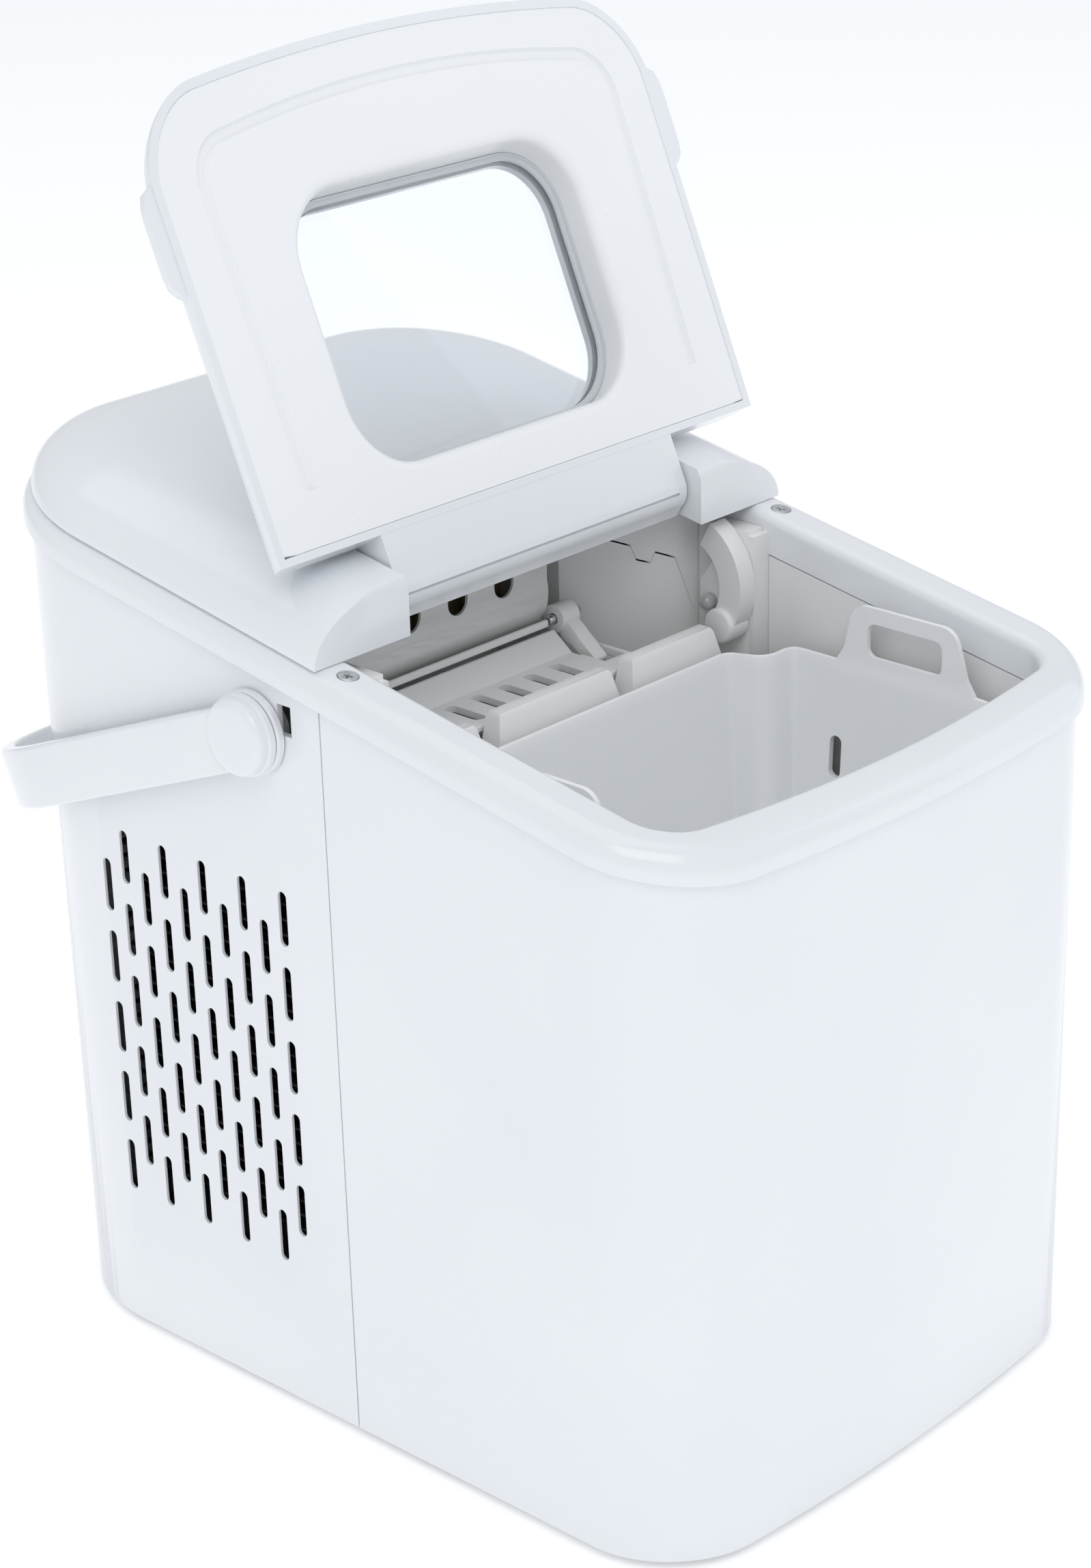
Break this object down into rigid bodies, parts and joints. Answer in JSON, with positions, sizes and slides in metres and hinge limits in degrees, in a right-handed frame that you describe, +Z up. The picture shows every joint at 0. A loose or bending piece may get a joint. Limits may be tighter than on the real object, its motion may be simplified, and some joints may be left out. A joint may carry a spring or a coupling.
{
  "type": "countertop ice maker",
  "caption": "Countertop ice maker: boxy white body, hinged window lid standing open over a lift-out basket, carrying handle folded behind, slotted side vents.",
  "frame": {"origin": "centre of the bounding box in plan, on the floor under the feet, with the lid open and the handle folded back", "axes": "+Z up, the front faces -Y, +X is to the right seen from the front"},
  "size_m": [0.2428, 0.3336, 0.4408],
  "materials": {
    "white_gloss": "gloss",
    "warm_satin": "satin",
    "tray_satin": "gloss",
    "clear_plastic": "clear",
    "steel": "satin",
    "zinc_plate": "zinc plated",
    "copper": "drawn copper",
    "aluminium": "satin",
    "black_paint": "satin",
    "rubber": "matte",
    "dark_plastic": "matte",
    "silicone": "translucent",
    "circuit_board": "solder mask"
  },
  "bodies": {
    "cabinet": {"base_pan": "zinc_plate", "front_panel": "white_gloss", "rear_panel": "white_gloss", "top_frame": "white_gloss", "rear_cover": "white_gloss", "hinge_pin_left": "steel", "hinge_pin_right": "steel", "frame_screw_left": "steel", "frame_screw_right": "steel", "handle_pivot_left": "white_gloss", "handle_pivot_right": "white_gloss", "handle_washer_left": "white_gloss", "handle_washer_right": "white_gloss", "water_tank": "warm_satin", "ice_chamber": "warm_satin", "ice_guard": "warm_satin", "shovel_rod": "steel", "evaporator": "copper", "drive_housing": "warm_satin", "tray_motor": "zinc_plate", "sensor_bracket": "warm_satin", "ice_sensor": "clear_plastic", "foot_front_left": "rubber", "foot_front_right": "rubber", "foot_rear_left": "rubber", "foot_rear_right": "rubber", "compressor": "black_paint", "condenser": "aluminium", "fan_shroud": "dark_plastic", "fan_motor": "zinc_plate", "discharge_line": "copper", "suction_line": "copper", "filter_drier": "copper", "capillary_tube": "copper", "water_pump": "dark_plastic", "water_hose": "silicone", "control_board": "circuit_board", "control_panel": "dark_plastic", "light_window": "clear_plastic", "cord_gland": "dark_plastic", "rear_screw_left": "steel", "rear_screw_right": "steel"},
    "lid": {"lid_shell": "white_gloss", "lid_liner": "warm_satin", "lid_window": "clear_plastic"},
    "handle": {"carry_handle": "white_gloss"},
    "basket": {"ice_basket": "warm_satin"},
    "tray": {"water_tray": "tray_satin"},
    "lever": {"shovel_lever": "warm_satin"},
    "shovel": {"ice_shovel": "warm_satin"},
    "fan": {"fan_blades": "dark_plastic"},
    "power_key": {"power_button": "warm_satin"},
    "size_key": {"size_button": "warm_satin"},
    "plug": {"drain_plug": "warm_satin"}
  },
  "joints": [
    {"name": "lid_hinge", "type": "hinge", "parent": "cabinet", "child": "lid", "pos_m": [0, -0.0029, 0.2827], "axis": [-1, 0, 0], "range_deg": [-123.1, 0]},
    {"name": "handle_pivot", "type": "hinge", "parent": "cabinet", "child": "handle", "pos_m": [0, 0.0109, 0.246], "axis": [-1, 0, 0], "range_deg": [-85, 0]},
    {"name": "basket_lift", "type": "slide", "parent": "cabinet", "child": "basket", "axis": [0, 0, 1], "range_m": [0, 0.11]},
    {"name": "tray_tilt", "type": "hinge", "parent": "cabinet", "child": "tray", "pos_m": [0, 0.0379, 0.25], "axis": [1, 0, 0], "range_deg": [0, 50]},
    {"name": "lever_swing", "type": "hinge", "parent": "cabinet", "child": "lever", "pos_m": [0, 0.0189, 0.24], "axis": [1, 0, 0], "range_deg": [0, 25]},
    {"name": "shovel_slide", "type": "slide", "parent": "cabinet", "child": "shovel", "axis": [0, 1, 0], "range_m": [0, 0.005]},
    {"name": "fan_spin", "type": "hinge", "parent": "cabinet", "child": "fan", "pos_m": [-0.074, 0.0469, 0.125], "axis": [1, 0, 0], "continuous": true},
    {"name": "power_press", "type": "slide", "parent": "cabinet", "child": "power_key", "axis": [0, 0.1781, -0.984], "range_m": [0, 0.0005], "stiffness_N_per_m": 400, "springref_m": -0.0005},
    {"name": "size_press", "type": "slide", "parent": "cabinet", "child": "size_key", "axis": [0, 0.1781, -0.984], "range_m": [0, 0.0005], "stiffness_N_per_m": 400, "springref_m": -0.0005},
    {"name": "plug_pull", "type": "slide", "parent": "cabinet", "child": "plug", "axis": [1, 0, 0], "range_m": [0, 0.02]}
  ],
  "couplings": [
    {"joint": "lever_swing", "follows": "tray_tilt", "ratio": 0.5},
    {"joint": "shovel_slide", "follows": "tray_tilt", "m_per_rad": 0.00573}
  ]
}
